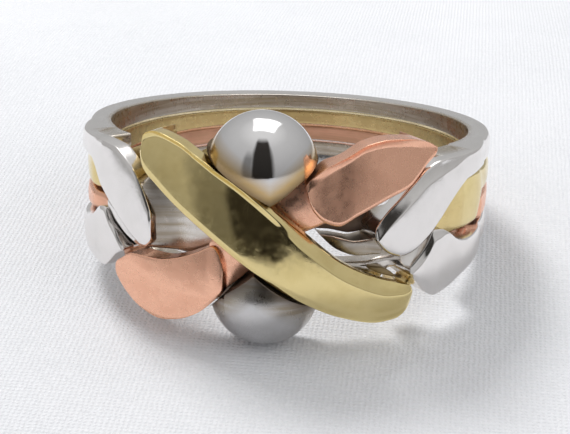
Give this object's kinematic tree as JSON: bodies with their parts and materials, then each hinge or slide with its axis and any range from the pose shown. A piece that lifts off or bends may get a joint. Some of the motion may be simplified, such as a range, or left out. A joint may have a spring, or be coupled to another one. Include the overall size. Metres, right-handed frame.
{
  "type": "interlocking puzzle ring",
  "caption": "Interlocking puzzle finger ring: white, yellow and rose metal bands woven into a flat knot between round beads, free to spread a little at the back.",
  "frame": {"origin": "centre of the finger hole, on the ring's axis at the middle height of the knot", "axes": "+Z along the finger hole, -Y out through the middle of the knot, +X to the right of a person who looks at the knot"},
  "size_m": [0.0202, 0.0222, 0.011],
  "materials": {
    "white_metal": "polished",
    "yellow_metal": "polished",
    "rose_metal": "satin"
  },
  "bodies": {
    "yellow": {"yellow_band": "yellow_metal"},
    "top": {"top_band": "white_metal", "upper_bead": "white_metal"},
    "rose": {"rose_band": "rose_metal"},
    "bottom": {"bottom_band": "white_metal", "lower_bead": "white_metal"}
  },
  "joints": [
    {"name": "top_tilt", "type": "hinge", "parent": "yellow", "child": "top", "pos_m": [0, -0.011, 0.001], "axis": [1, 0, 0], "range_deg": [0, 4]},
    {"name": "rose_tilt", "type": "hinge", "parent": "yellow", "child": "rose", "pos_m": [0, -0.011, 0], "axis": [-1, 0, 0], "range_deg": [0, 2.8]},
    {"name": "bottom_tilt", "type": "hinge", "parent": "rose", "child": "bottom", "pos_m": [0, -0.011, -0.001], "axis": [-1, 0, 0], "range_deg": [0, 2]}
  ]
}
